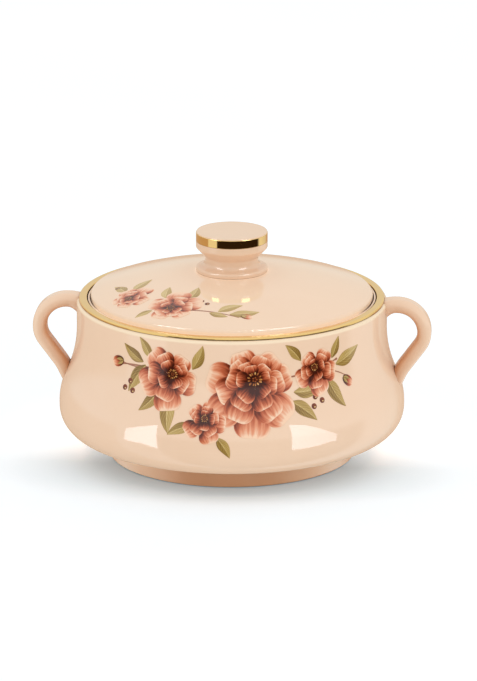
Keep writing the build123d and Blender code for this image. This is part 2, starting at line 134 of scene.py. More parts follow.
# Colours, linear
PEACH = (0.875, 0.625, 0.445)
PEACH_WARM = (0.83, 0.56, 0.375)
PEACH_PALE = (0.89, 0.66, 0.49)
PEACH_PAINTED_SHADE = (0.64, 0.29, 0.13)
LID_PEACH = (0.905, 0.67, 0.485)
LID_WARM = (0.865, 0.61, 0.42)
LID_PALE = (0.92, 0.705, 0.53)
# The foot's peach is the body's, darker and redder as painted shade for the shadow under the belly
FOOT_SHADED_PEACH = (0.76, 0.38, 0.20)
FOOT_SHADE = (0.68, 0.31, 0.15)
KNOB_PEACH = (0.84, 0.60, 0.42)
GOLD = (0.87, 0.62, 0.26)
GOLD_DEEP = (0.80, 0.54, 0.20)
STEEL = (0.82, 0.82, 0.81)
STEEL_MARK = (0.70, 0.70, 0.69)
SILICONE = (0.78, 0.75, 0.68)
SILICONE_DARK = (0.66, 0.63, 0.56)
RUBBER = (0.6, 0.57, 0.5)
RUBBER_DARK = (0.48, 0.45, 0.4)
PLUG = (0.7, 0.67, 0.6)
PLUG_DARK = (0.62, 0.59, 0.53)
FOAM = (0.87, 0.79, 0.55)
FOAM_DARK = (0.72, 0.62, 0.36)
# Painted shade for narrow gaps and crevices
CREVICE_SHADE = (0.07, 0.03, 0.012)
# Painted glow for the lid's groove
PAINTED_GROOVE_GLOW = (0.80, 0.68, 0.50)
# Painted highlight for the body's lip
PAINTED_LIP_HIGHLIGHT = (0.98, 0.81, 0.57)

# How near another surface is where painted shade darkens a crevice, and the rays that look for one
CORNER_RAYS = 8
GOLD_GAP = 0.0015
STEEL_GAP = 0.003
RUBBER_GAP = 0.003

# The body's painted highlight just below its top: how far below the top it starts and is full, and how
# strong it is
LIP_START = 0.0027
LIP_FULL = 0.0016
LIP_STRENGTH = 0.7

# The lid's groove: how near its walls are where it gets a painted glow, how near at its ends with painted
# shade, and how far out to the sides these ends start and are full
GROOVE_REACH = 0.008
GROOVE_END_REACH = 0.002
GROOVE_ENDS = (0.090, 0.0965)

# Printed sprays: how far the lowest and each further layer of print stands out, how many layers there may
# be, the print's thickness, and the angle up to which its edges are smooth
PRINT_LIFT = 0.0001
LAYER_STEP = 0.00003
LAYERS = 20
PRINT_THICKNESS = 0.00015
PRINT_SMOOTH = radians(50)
MILLIMETRE = 0.001

# Brush marks: how fine they are along a sheet, and how far apart sheets of different shade take theirs from
MARKS_ALONG = 1.6
MARKS_APART = 61.0

# Body spray: radii at which it is folded round and at which its shapes are true, and its bearing
FOLD_RADIUS = 0.125
TRUE_RADIUS = 0.112
BODY_SPRAY_BEARING = radians(4)

# Lid spray: how high above the lid it is held before it is pressed down
HOLD_ABOVE_LID = 0.01

# Widths of the print's blanks at equal shares of their length, and the rows across them
PETAL = (0.30, 0.46, 0.66, 0.84, 0.96, 1.0, 0.98, 0.88, 0.62)
LEAF = (0.08, 0.44, 0.80, 0.97, 1.0, 0.92, 0.76, 0.55, 0.30, 0.02)
DROP = (0.36, 0.78, 0.96, 1.0, 0.94, 0.76, 0.34)
STALK = (1.0, 0.98, 0.95, 0.92, 0.88, 0.84, 0.80, 0.76, 0.70, 0.62, 0.50)
BLANK_ROWS = 4

# How near the points of one column of a blank lie together
SAME_COLUMN = 0.001

# Rings of a blossom from the outside in: petals, and their root, length, width and shade for a reach of one
FULL_BLOSSOM = (
    (7, 0.26, 0.76, 0.74, 0.86),
    (6, 0.20, 0.60, 0.62, 0.66),
    (6, 0.14, 0.46, 0.48, 0.50),
    (5, 0.08, 0.34, 0.38, 0.34),
)
SMALL_BLOSSOM = (
    (5, 0.24, 0.78, 0.86, 0.80),
    (5, 0.16, 0.58, 0.66, 0.58),
    (4, 0.08, 0.40, 0.50, 0.40),
)

# Layers of print that a ring takes up, the share of the reach by which each ring lies farther from the side
# that the blossom leans to, and the share by which the petals on that side are larger
RING_LAYERS = 3
RING_INWARDS = 0.05
NEAR_STRETCH = 0.16

# How far the petals of a blossom differ in turn, bend, shade and size
TURN_SCATTER = 0.12
BEND_SCATTER = 0.25
SHADE_SCATTER = 0.08
SIZE_SCATTER = (0.94, 1.06)

# Heart of a blossom, as a share of its reach. Stamens in a ring, for a heart with a reach of one: how many,
# the bounds of their turn, root, size and shade, and the length and width of one with a size of one. Stamens
# in its middle: how many, and their root, length and width
HEART_SHARE = 0.15
STAMENS = 13
STAMEN_TURN = 0.1
STAMEN_ROOT = (0.55, 0.75)
STAMEN_SIZE = (0.3, 0.42)
STAMEN_SHADE = (0.45, 0.8)
STAMEN_LENGTH = 1.3
STAMEN_WIDTH = 0.7
MIDDLE_STAMENS = 5
MIDDLE_ROOT = 0.12
MIDDLE_LENGTH = 0.3
MIDDLE_WIDTH = 0.26

# Bud: share of its length, swing, layer and shade of each petal, and their width as a share of its length.
# Sepals: turn in degrees, bend, length as a share of the bud's, and width as a share of their own
BUD_PETALS = ((0.92, 0.3, 4, 0.45), (0.92, -0.3, 5, 0.62), (1.0, 0.0, 6, 0.85))
BUD_WIDTH = 0.5
SEPAL_TURN = 28.5
SEPAL_BEND = 0.5
SEPAL_LENGTH = 0.62
SEPAL_WIDTH = 0.36
SEPAL_LAYER = 7

# Berry: turn of its two drops, and place, length and width of its glint for a size of one
BERRY_TURN = 0.6
GLINT = (-0.1, 0.05, 0.3, 0.24)


def paint(*levels):
    """Linear colour of display levels from 0 to 255."""
    return tuple(((level / 255 + 0.055) / 1.055) ** 2.4 for level in levels)


def tidy_selection():
    """Nothing stays selected, so that the next operator acts on its own piece alone."""
    bpy.ops.object.select_all(action="DESELECT")


def take_up(*pieces):
    """Selects just these pieces, with the first as the active one."""
    tidy_selection()
    for piece in pieces:
        piece.select_set(True)
    bpy.context.view_layer.objects.active = pieces[0]


def settle(piece):
    """Moves the piece's place, turn and scale into its mesh."""
    take_up(piece)
    bpy.ops.object.transform_apply(location=True, rotation=True, scale=True)


def work(piece, kind, **settings):
    """Adds a modifier with its settings and applies it."""
    take_up(piece)
    modifier = piece.modifiers.new(kind.lower(), kind)
    for name, value in settings.items():
        setattr(modifier, name, value)
    bpy.ops.object.modifier_apply(modifier=modifier.name)


# Materials


class Nodes:
    """A tree of shader nodes, with short ways to add and join them."""

    def __init__(self, tree):
        self.tree = tree

    def node(self, kind):
        return self.tree.nodes.new("ShaderNode" + kind)

    def join(self, output, target):
        self.tree.links.new(output, target)

    def feed(self, socket, value):
        """Joins an output to a socket, or sets the socket to a plain number or colour."""
        if isinstance(value, bpy.types.NodeSocket):
            self.join(value, socket)
        elif isinstance(value, (int, float)):
            socket.default_value = value
        else:
            socket.default_value = (*value, 1.0)

    def axes(self, vector):
        """The three parts of a vector."""
        split = self.node("SeparateXYZ")
        self.join(vector, split.inputs[0])
        return split.outputs[:]

    def vector(self, *parts):
        """A vector of its parts."""
        whole = self.node("CombineXYZ")
        for socket, part in zip(whole.inputs, parts):
            self.feed(socket, part)
        return whole.outputs[0]

    def number(self, operation, *values):
        maths = self.node("Math")
        maths.operation = operation
        for socket, value in zip(maths.inputs, values):
            self.feed(socket, value)
        return maths.outputs[0]

    def times(self, first, second):
        return self.number("MULTIPLY", first, second)

    def sum(self, *terms):
        """Sum of terms, each a number, an output, or an output with the factor that it is taken by."""
        total = 0.0
        for term in terms:
            if isinstance(term, tuple):
                term = self.times(*term)
            total = self.number("ADD", total, term)
        return total

    def span(self, value, low, high, to_low, to_high, smooth=False):
        """Carries a value over from one range to another, and no further than its ends."""
        span = self.node("MapRange")
        if smooth:
            span.interpolation_type = "SMOOTHSTEP"
        for socket, number in zip(span.inputs[1:5], (low, high, to_low, to_high)):
            socket.default_value = number
        self.join(value, span.inputs[0])
        return span.outputs[0]

    def mix(self, factor, first, second):
        """Colour between two others."""
        mix = self.node("Mix")
        mix.data_type = "RGBA"
        for socket, value in zip((mix.inputs[0], mix.inputs[6], mix.inputs[7]), (factor, first, second)):
            self.feed(socket, value)
        return mix.outputs[2]

    def ramp(self, value, *stops):
        """Colour by a value, from stops that each have a position and a colour."""
        ramp = self.node("ValToRGB")
        elements = ramp.color_ramp.elements
        while len(elements) < len(stops):
            elements.new(0.5)
        for element, (position, colour) in zip(elements, stops):
            element.position = position
            element.color = (*colour, 1.0)
        self.join(value, ramp.inputs["Fac"])
        return ramp.outputs["Color"]

    def noise(self, vector, scale, detail=2.0, roughness=0.5):
        """Soft random marks, from 0 to 1."""
        noise = self.node("TexNoise")
        for name, value in (("Scale", scale), ("Detail", detail), ("Roughness", roughness)):
            noise.inputs[name].default_value = value
        self.join(vector, noise.inputs["Vector"])
        return noise.outputs["Fac"]


class Finish(Nodes):
    """A material whose patterns follow the casserole's own coordinates."""

    def __init__(self, name):
        self.material = bpy.data.materials.new(name)
        self.material.use_nodes = True
        super().__init__(self.material.node_tree)
        self.shader = self.tree.nodes["Principled BSDF"]

    def set(self, **values):
        """Gives the shader's inputs their outputs, numbers or colours."""
        for name, value in values.items():
            self.feed(self.shader.inputs[name.replace("_", " ")], value)

    def place(self):
        return self.node("TexCoord").outputs["Object"]

    def cloud(self, scale, detail=2.0, roughness=0.5):
        """Noise that is alike in all directions."""
        return self.noise(self.place(), scale, detail, roughness)

    def turned(self, scale, detail=2.0):
        """Noise in rings round the axis, as turning and spinning leave it."""
        across, back, height = self.axes(self.place())
        radius = self.number("SQRT", self.sum((across, across), (back, back)))
        return self.noise(self.vector(radius, height), scale, detail)

    def corner(self, reach):
        """How open the surface lies: 1 in the open, towards 0 where other surfaces are within reach."""
        corner = self.node("AmbientOcclusion")
        corner.samples = CORNER_RAYS
        corner.inputs["Distance"].default_value = reach
        return corner.outputs["AO"]

    def bump(self, height, distance, strength):
        bump = self.node("Bump")
        bump.inputs["Distance"].default_value = distance
        bump.inputs["Strength"].default_value = strength
        self.join(height, bump.inputs["Height"])
        self.set(Normal=bump.outputs["Normal"])

    def metal(self, tone, crevice):
        """Metal of a tone with painted shade in its crevices, which turns it dark and dull there."""
        self.set(
            Base_Color=self.mix(crevice, tone, CREVICE_SHADE),
            Metallic=self.span(crevice, 0.0, 1.0, 1.0, 0.0),
            Specular_IOR_Level=self.span(crevice, 0.0, 0.6, 0.5, 0.0),
        )

    def glaze(self, roughness):
        """Clear gloss with the faint waviness of a moulding."""
        self.set(Roughness=roughness, IOR=1.5)
        self.bump(self.cloud(scale=90.0, detail=1.0), distance=0.00002, strength=0.4)


def glossy_moulding(name, tones, roughness, reach, depth, line=0.9, gap=0.0012, glow=0.0, lip=None):
    """Polished moulded plastic, faintly cloudy, with painted shade and painted light.

    Where another surface lies within reach its tone is deeper, by the share depth, as painted shade, and
    where one lies within a gap it is dark, by the share line, as painted shade that also dims its gloss.
    With a glow its groove gets a painted glow, with painted shade at the ends. With a lip it gets a painted
    highlight just below that height."""
    finish = Finish(name)
    across, _, height = finish.axes(finish.place())
    colour, warm, pale = tones
    cloud = finish.cloud(scale=14.0, detail=3.0)
    tone = finish.mix(0.25, colour, finish.ramp(cloud, (0.35, warm), (0.5, colour), (0.68, pale)))
    # Painted shade: the tone deepens where another surface lies within reach
    between = finish.span(finish.corner(reach), 0.3, 1.0, depth, 0.0)
    tone = finish.mix(between, tone, PEACH_PAINTED_SHADE)
    # Painted highlight: a pale band just below the lip's height
    if lip:
        edge = finish.span(height, lip - LIP_START, lip - LIP_FULL, 0.0, LIP_STRENGTH)
        tone = finish.mix(edge, tone, PAINTED_LIP_HIGHLIGHT)
    # Painted shade: narrow gaps turn dark and lose their gloss
    crevice = finish.span(finish.corner(gap), 0.1, 0.45, line, 0.0)
    # Painted light in the groove, and painted shade at its ends to the sides
    if glow:
        end = finish.span(finish.number("ABSOLUTE", across), *GROOVE_ENDS, 0.0, 1.0)
        lit = finish.span(finish.corner(GROOVE_REACH), 0.45, 0.95, glow, 0.0)
        lit = finish.times(lit, finish.span(end, 0.0, 1.0, 1.0, 0.0))
        finish.set(Emission_Color=PAINTED_GROOVE_GLOW, Emission_Strength=lit)
        deep = finish.span(finish.corner(GROOVE_END_REACH), 0.35, 0.75, 1.0, 0.0)
        crevice = finish.number("MAXIMUM", crevice, finish.times(deep, end))
    finish.set(Base_Color=finish.mix(crevice, tone, CREVICE_SHADE))
    finish.set(Specular_IOR_Level=finish.span(crevice, 0.0, 0.5, 0.5, 0.0))
    finish.glaze(roughness)
    return finish.material


def polished_gold(name):
    """Bright gold-coloured metal with faint turning marks round the axis and painted shade in its crevices.
    """
    finish = Finish(name)
    tone = finish.mix(finish.cloud(scale=60.0, detail=3.0), GOLD, GOLD_DEEP)
    finish.metal(tone, finish.span(finish.corner(GOLD_GAP), 0.25, 0.8, 1.0, 0.0))
    finish.set(Roughness=0.07, IOR=1.45)
    finish.bump(finish.turned(scale=900.0, detail=1.0), distance=0.00001, strength=0.2)
    return finish.material


def spun_steel(name, roughness):
    """Satin stainless steel with fine rings from spinning, and painted shade in narrow gaps."""
    finish = Finish(name)
    marks = finish.turned(scale=1100.0)
    tone = finish.ramp(marks, (0.3, STEEL_MARK), (0.7, STEEL))
    finish.metal(tone, finish.span(finish.corner(STEEL_GAP), 0.25, 0.7, 1.0, 0.0))
    finish.set(Roughness=finish.span(marks, 0, 1, roughness - 0.06, roughness + 0.08), IOR=2.5)
    finish.bump(marks, distance=0.00002, strength=0.3)
    return finish.material


def soft_rubber(name, colour, dark):
    """Matte silicone or rubber with a fine grain, and painted shade where it lies in a narrow gap."""
    finish = Finish(name)
    grain = finish.cloud(scale=700.0, detail=4.0, roughness=0.7)
    crevice = finish.span(finish.corner(RUBBER_GAP), 0.2, 0.7, 1.0, 0.0)
    tone = finish.mix(crevice, finish.ramp(grain, (0.3, dark), (0.7, colour)), CREVICE_SHADE)
    finish.set(Base_Color=tone, Roughness=0.62)
    finish.set(Specular_IOR_Level=finish.span(crevice, 0.0, 0.6, 0.5, 0.0))
    finish.bump(grain, distance=0.00004, strength=0.5)
    return finish.material


def rigid_foam(name):
    """Yellowish rigid foam with cells."""
    finish = Finish(name)
    cells = finish.node("TexVoronoi")
    cells.inputs["Scale"].default_value = 900.0
    finish.join(finish.place(), cells.inputs["Vector"])
    depth = cells.outputs["Distance"]
    finish.set(Base_Color=finish.ramp(depth, (0.0, FOAM_DARK), (0.5, FOAM)), Roughness=0.9)
    finish.bump(depth, distance=0.0003, strength=0.6)
    return finish.material


def screen_print(name):
    """Start of a printed colour: its finish, and where a point lies along and across its sheet."""
    finish = Finish(name)
    along, across, _ = finish.axes(finish.node("TexCoord").outputs["UV"])
    shade = finish.node("Attribute")
    shade.attribute_name = "shade"
    finish.glaze(0.05)
    return finish, along, across, shade.outputs["Fac"]


def brushed(finish, along, across, shade, fineness):
    """Brush marks that run along a petal or leaf and differ from one to the next."""
    place = finish.vector(
        finish.times(along, MARKS_ALONG), finish.times(across, fineness), finish.times(shade, MARKS_APART)
    )
    return finish.noise(place, scale=1.0, detail=4.0)


def off_the_middle(finish, across):
    """How far a point lies off the line along the middle of its sheet."""
    return finish.number("ABSOLUTE", finish.sum((across, 1.0), -0.5))


def petal_print(name, pale=0.0):
    """Petals from deep brown red at the heart to a pale rim, one side tucked into shade."""
    finish, along, across, shade = screen_print(name)
    marks = brushed(finish, along, across, shade, 11.0)
    tucked = finish.span(across, 0.0, 0.38, -0.26, 0.0)
    side = finish.times(off_the_middle(finish, across), 2.0)
    rim = finish.span(finish.number("MAXIMUM", side, along), 0.88, 0.98, 0.0, 0.16)
    outer = finish.span(along, 0.2, 1.0, 0.0, 1.0)
    # Paler outwards, by its own shade, in its marks and at its rim, and darker where it is tucked in
    tone = finish.sum((outer, 0.86), (shade, 0.50), (marks, 0.85), (tucked, 1.3), rim, pale - 0.73)
    colour = finish.ramp(
        tone,
        (0.0, paint(66, 24, 14)),
        (0.22, paint(122, 50, 28)),
        (0.46, paint(188, 94, 60)),
        (0.70, paint(226, 146, 108)),
        (1.0, paint(247, 208, 176)),
    )
    finish.set(Base_Color=colour)
    return finish.material


def leaf_print(name, pale=0.0):
    """Olive leaves with a midrib, side veins and one half lighter than the other."""
    finish, along, across, shade = screen_print(name)
    marks = brushed(finish, along, across, shade, 7.0)
    middle = off_the_middle(finish, across)
    wave = finish.number("SINE", finish.sum((along, 46.0), (middle, -34.0)))
    veins = finish.span(wave, 0.55, 1.0, 0.0, 0.17)
    midrib = finish.span(middle, 0.02, 0.05, 0.3, 0.0)
    half = finish.span(across, 0.48, 0.52, -0.1, 0.1)
    # Paler by its own shade, in its marks, veins, midrib and lighter half, and towards its tip
    tone = finish.sum((shade, 0.5), (marks, 0.55), veins, midrib, half, (along, 0.12), pale - 0.12)
    colour = finish.ramp(
        tone,
        (0.0, paint(74, 52, 24)),
        (0.3, paint(130, 99, 46)),
        (0.6, paint(182, 150, 84)),
        (1.0, paint(224, 199, 140)),
    )
    finish.set(Base_Color=colour)
    return finish.material


def stalk_print():
    """Thin stalks in dusty brown."""
    finish, along, across, shade = screen_print("stalk_print")
    marks = brushed(finish, along, across, shade, 3.0)
    colour = finish.ramp(marks, (0.3, paint(138, 84, 62)), (0.7, paint(188, 130, 104)))
    finish.set(Base_Color=colour)
    return finish.material


def heart_print():
    """Stamens and berries, ochre over a dark brown heart."""
    finish, along, across, shade = screen_print("heart_print")
    marks = brushed(finish, along, across, shade, 5.0)
    tone = finish.sum((shade, 1.0), (marks, 0.3), (along, 0.25), -0.28)
    colour = finish.ramp(
        tone,
        (0.0, paint(58, 22, 14)),
        (0.4, paint(132, 62, 34)),
        (0.7, paint(200, 136, 72)),
        (1.0, paint(240, 204, 140)),
    )
    finish.set(Base_Color=colour)
    return finish.material


BODY_TONES = (PEACH, PEACH_WARM, PEACH_PALE)
LID_TONES = (LID_PEACH, LID_WARM, LID_PALE)
KNOB_TONES = (KNOB_PEACH, PEACH_WARM, PEACH_PALE)
# The foot's tones carry painted shade
FOOT_TONES = (FOOT_SHADED_PEACH, FOOT_SHADE, PEACH_WARM)

# Most finishes here and below carry painted shade: deeper near other surfaces and dark in narrow gaps
FINISHES = {
    "peach_gloss": glossy_moulding(
        "peach_gloss", BODY_TONES, roughness=0.05, reach=0.02, depth=0.2, gap=0.002
    ),
    "peach_foot": glossy_moulding(
        "peach_foot", FOOT_TONES, roughness=0.32, reach=0.03, depth=0.2, line=0.6, gap=0.004
    ),
    "gold": polished_gold("gold"),
    "steel": spun_steel("steel", roughness=0.28),
    "steel_screw": spun_steel("steel_screw", roughness=0.34),
    "brass_insert": polished_gold("brass_insert"),
    "silicone": soft_rubber("silicone", SILICONE, SILICONE_DARK),
    "foot_rubber": soft_rubber("foot_rubber", RUBBER, RUBBER_DARK),
    "foam": rigid_foam("foam"),
    "plug_plastic": soft_rubber("plug_plastic", PLUG, PLUG_DARK),
}

# The body's finish also paints a highlight just below its top
BODY_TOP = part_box("outer_shell")[1][2]
BODY_FINISH = glossy_moulding(
    "peach_body", BODY_TONES, roughness=0.05, reach=0.02, depth=0.2, gap=0.0013, lip=BODY_TOP
)
# The handles deepen most strongly near the body, as painted shade
HANDLE_FINISH = glossy_moulding("peach_handle", BODY_TONES, roughness=0.06, reach=0.05, depth=0.95)
# The lid's groove gets a painted glow, with painted shade at its ends
LID_FINISH = glossy_moulding("peach_lid", LID_TONES, roughness=0.05, reach=0.004, depth=0.1, glow=0.3)
KNOB_FINISH = glossy_moulding("peach_knob", KNOB_TONES, roughness=0.05, reach=0.02, depth=0.16, line=0.5)
NODE_FINISHES = {
    "outer_shell": BODY_FINISH,
    "left_handle": HANDLE_FINISH,
    "right_handle": HANDLE_FINISH,
    "lid_cover": LID_FINISH,
    "knob_body": KNOB_FINISH,
    "knob_cap": KNOB_FINISH,
}

BODY_PRINT = {
    "petals": petal_print("body_petal_print"),
    "leaves": leaf_print("body_leaf_print"),
    "stalks": stalk_print(),
    "hearts": heart_print(),
}
LID_PRINT = BODY_PRINT | {
    "petals": petal_print("lid_petal_print", pale=0.2),
    "leaves": leaf_print("lid_leaf_print", pale=0.2),
}


def dress_nodes():
    """Each CAD node takes its own finish, or else that of its slot in the record."""
    for subpart in frame["record"]["subparts"]:
        node = nodes[subpart["node"]]
        node.data.materials.clear()
        finish = NODE_FINISHES.get(subpart["node"], FINISHES[subpart["material_slot"]])
        node.data.materials.append(finish)


# Printed sprays


def add_blank(name, widths):
    """Flat sheet of unit length along X with rounded corners, drawn in to the given widths."""
    tidy_selection()
    columns = len(widths) - 1
    bpy.ops.mesh.primitive_grid_add(
        x_subdivisions=columns, y_subdivisions=BLANK_ROWS, size=1.0, calc_uvs=True, location=(0.5, 0, 0)
    )
    blank = bpy.context.object
    blank.name = name
    settle(blank)
    for column, width in enumerate(widths):
        along = column / columns
        bpy.ops.object.mode_set(mode="EDIT")
        bpy.ops.mesh.select_all(action="DESELECT")
        bpy.ops.object.mode_set(mode="OBJECT")
        for vertex in blank.data.vertices:
            vertex.select = abs(vertex.co.x - along) < SAME_COLUMN
        bpy.ops.object.mode_set(mode="EDIT")
        bpy.ops.transform.resize(value=(1, width, 1), center_override=(along, 0, 0))
        bpy.ops.object.mode_set(mode="OBJECT")
    work(blank, "SUBSURF", levels=1, render_levels=1)
    return blank


class Spray:
    """A flat design of petals, leaves and stalks, laid out in millimetres in the plane z = 0.

    Leaves, stalks and buds point in degrees from the right. Turns, bends and leans are in radians."""

    def __init__(self, blanks, seed):
        self.blanks = blanks
        self.laid = {"petals": [], "leaves": [], "stalks": [], "hearts": []}
        self.chance = Random(seed)

    def either_way(self, most):
        """A random amount up to the most, to one side or the other."""
        return self.chance.uniform(-most, most)

    def lay(self, kind, blank, place, length, width, turn, layer, bend=0.0, shade=0.5):
        """Lays a copy of a blank with its root at a place, turned and bent, in a layer of the stack."""
        take_up(self.blanks[blank])
        bpy.ops.object.duplicate()
        sheet = bpy.context.object
        sheet.scale = (length, width, 1)
        settle(sheet)
        if bend:
            work(sheet, "SIMPLE_DEFORM", deform_method="BEND", deform_axis="Z", angle=bend)
        sheet.location = (*place, 0)
        sheet.rotation_euler.z = turn
        count = len(sheet.data.vertices)
        lift = (PRINT_LIFT + layer * LAYER_STEP) / (PRINT_LIFT + LAYERS * LAYER_STEP)
        sheet.vertex_groups.new(name="lift").add(range(count), lift, "REPLACE")
        sheet.data.attributes.new("shade", "FLOAT", "POINT").data.foreach_set("value", [shade] * count)
        self.laid[kind].append(sheet)

    def blossom(self, place, reach, rings, lean=0.0, layer=4):
        """An open blossom that leans towards a direction: rings of petals and a heart of stamens."""
        x, y = place
        for ring, (count, root, length, width, shade) in enumerate(rings):
            first = self.chance.uniform(0, 2 * pi)
            inwards = RING_INWARDS * reach * ring
            for index in range(count):
                turn = first + 2 * pi * index / count + self.either_way(TURN_SCATTER)
                # Neighbours lie in different layers, also the last petal of an odd ring and the first
                last_odd = count % 2 and index == count - 1
                size = reach * (1 + NEAR_STRETCH * cos(turn - lean)) * self.chance.uniform(*SIZE_SCATTER)
                start = (
                    x + root * reach * cos(turn) - inwards * cos(lean),
                    y + root * reach * sin(turn) - inwards * sin(lean),
                )
                self.lay(
                    "petals",
                    "petal",
                    start,
                    size * length,
                    size * width,
                    turn,
                    layer + RING_LAYERS * ring + (2 if last_odd else index % 2),
                    self.either_way(BEND_SCATTER),
                    shade + self.either_way(SHADE_SCATTER),
                )
        inwards = RING_INWARDS * reach * len(rings)
        heart = (x - inwards * cos(lean), y - inwards * sin(lean))
        self.heart(heart, HEART_SHARE * reach, layer + RING_LAYERS * len(rings))

    def heart(self, place, reach, layer):
        """A dark disc with a ring of ochre stamens round a few brown ones."""
        x, y = place
        self.lay("hearts", "drop", (x - reach, y), 2 * reach, 2 * reach, 0.0, layer, shade=0.0)
        for index in range(STAMENS):
            turn = 2 * pi * index / STAMENS + self.either_way(STAMEN_TURN)
            root = reach * self.chance.uniform(*STAMEN_ROOT)
            start = (x + root * cos(turn), y + root * sin(turn))
            size = reach * self.chance.uniform(*STAMEN_SIZE)
            shade = self.chance.uniform(*STAMEN_SHADE)
            length, width = STAMEN_LENGTH * size, STAMEN_WIDTH * size
            self.lay("hearts", "drop", start, length, width, turn, layer + 1, shade=shade)
        length, width = MIDDLE_LENGTH * reach, MIDDLE_WIDTH * reach
        for index in range(MIDDLE_STAMENS):
            turn = 2 * pi * index / MIDDLE_STAMENS
            start = (x + MIDDLE_ROOT * reach * cos(turn), y + MIDDLE_ROOT * reach * sin(turn))
            self.lay("hearts", "drop", start, length, width, turn, layer + 1, shade=0.4)

    def leaf(self, place, length, degrees, bend=0.0, shade=0.5, layer=1, width=0.42):
        """A leaf with its root at a place. Its width is a share of its length."""
        self.lay("leaves", "leaf", place, length, width * length, radians(degrees), layer, bend, shade)

    def stalk(self, place, length, degrees, bend=0.0, width=1.0):
        """A stalk in the lowest layer."""
        self.lay("stalks", "stalk", place, length, width, radians(degrees), 0, bend)

    def bud(self, place, length, degrees):
        """A closed bud: three narrow petals in two sepals."""
        width = length * BUD_WIDTH
        for share, swing, layer, shade in BUD_PETALS:
            turn = radians(degrees) + swing
            self.lay("petals", "drop", place, length * share, width, turn, layer, -swing, shade)
        for side in (1, -1):
            turn, bend = degrees + side * SEPAL_TURN, -side * SEPAL_BEND
            self.leaf(place, length * SEPAL_LENGTH, turn, bend, 0.45, SEPAL_LAYER, SEPAL_WIDTH)

    def berry(self, place, size, shade=0.3):
        """A round berry with a pale glint."""
        x, y = place
        self.lay("hearts", "drop", (x - size / 2, y), size, size, BERRY_TURN, 2, shade=shade)
        across, up, length, width = (size * share for share in GLINT)
        self.lay("hearts", "drop", (x + across, y + up), length, width, BERRY_TURN, 3, shade=0.95)

    def gather(self, name, press, colours):
        """Joins the sheets of each kind, presses them onto their surface and gives them thickness."""
        for kind, sheets in self.laid.items():
            if not sheets:
                continue
            take_up(*sheets)
            if len(sheets) > 1:
                bpy.ops.object.join()
            piece = bpy.context.object
            piece.name = f"{name}_{kind}"
            settle(piece)
            piece.scale = (MILLIMETRE,) * 3
            settle(piece)
            body = press(piece)
            strength = PRINT_LIFT + LAYERS * LAYER_STEP
            work(piece, "DISPLACE", strength=strength, mid_level=0.0, vertex_group="lift")
            work(piece, "SOLIDIFY", thickness=PRINT_THICKNESS, offset=-1.0)
            take_up(piece)
            bpy.ops.object.shade_smooth_by_angle(angle=PRINT_SMOOTH)
            piece.data.materials.clear()
            piece.data.materials.append(colours[kind])
            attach(piece, body)


def press_on_body(piece):
    """Stands a flat design upright, folds it round the body and presses it on from outside."""
    piece.scale.x = FOLD_RADIUS / TRUE_RADIUS
    piece.rotation_euler.x = pi / 2
    settle(piece)
    across = [vertex.co.x for vertex in piece.data.vertices]
    fold = (max(across) - min(across)) / FOLD_RADIUS
    work(piece, "SIMPLE_DEFORM", deform_method="BEND", deform_axis="Z", angle=fold)
    piece.location.y = -FOLD_RADIUS
    settle(piece)
    piece.rotation_euler.z = BODY_SPRAY_BEARING
    settle(piece)
    work(
        piece,
        "SHRINKWRAP",
        target=nodes["outer_shell"],
        wrap_method="PROJECT",
        use_negative_direction=True,
        use_positive_direction=False,
    )
    return "pot"


def press_on_lid(piece):
    """Holds a flat design over the lid and presses it down."""
    piece.location.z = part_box("lid_cover")[1][2] + HOLD_ABOVE_LID
    settle(piece)
    work(
        piece,
        "SHRINKWRAP",
        target=nodes["lid_cover"],
        wrap_method="PROJECT",
        use_project_z=True,
        use_negative_direction=True,
        use_positive_direction=False,
    )
    return "lid"


def print_body_spray(blanks):
    """Garland on the front of the body: places are arc from its middle and height, in millimetres."""
    spray = Spray(blanks, seed=11)
    spray.stalk((-40, 86), 46, 168, 0.35, 1.3)
    spray.stalk((-56, 90), 30, 196, -0.5, 1.0)
    spray.stalk((36, 84), 46, 4, 0.2, 1.2)
    spray.stalk((66, 86), 24, -4, -0.5, 0.9)
    spray.stalk((-4, 74), 26, 232, 0.4, 1.0)
    spray.leaf((-4, 68), 24, 202, 0.5, 0.42)
    spray.leaf((-28, 91), 19, 52, 0.5, 0.58)
    spray.leaf((-64, 90), 24, 226, 0.4, 0.5)
    spray.leaf((-66, 92), 20, 160, -0.4, 0.36)
    spray.leaf((-60, 95), 17, 108, 0.5, 0.6)
    spray.leaf((-44, 72), 25, 264, 0.4, 0.62)
    spray.leaf((-52, 74), 20, 236, -0.3, 0.4)
    spray.leaf((41, 68), 22, 332, -0.4, 0.5)
    spray.leaf((44, 74), 22, 352, 0.4, 0.66, 2)
    spray.leaf((50, 95), 17, 122, 0.4, 0.4)
    spray.leaf((72, 80), 24, 286, 0.4, 0.44)
    spray.leaf((80, 88), 25, 10, 0.4, 0.64)
    spray.leaf((76, 93), 16, 58, 0.3, 0.5, 2)
    spray.leaf((-26, 54), 18, 190, 0.5, 0.56)
    spray.leaf((-10, 47), 17, 312, -0.4, 0.46)
    spray.blossom((14, 79), 30, FULL_BLOSSOM, radians(250))
    spray.blossom((-45, 85), 21, SMALL_BLOSSOM, radians(210))
    spray.blossom((62, 87), 16, SMALL_BLOSSOM, radians(300))
    spray.blossom((-18, 57), 13.5, SMALL_BLOSSOM, radians(270))
    spray.bud((-84, 90), 11, 196)
    spray.bud((86, 78), 10, -40)
    for place in ((-76, 76), (-80, 71), (-73, 70), (60, 68), (65, 65), (58, 62)):
        spray.berry(place, 3.8)
    spray.gather("body", press_on_body, BODY_PRINT)


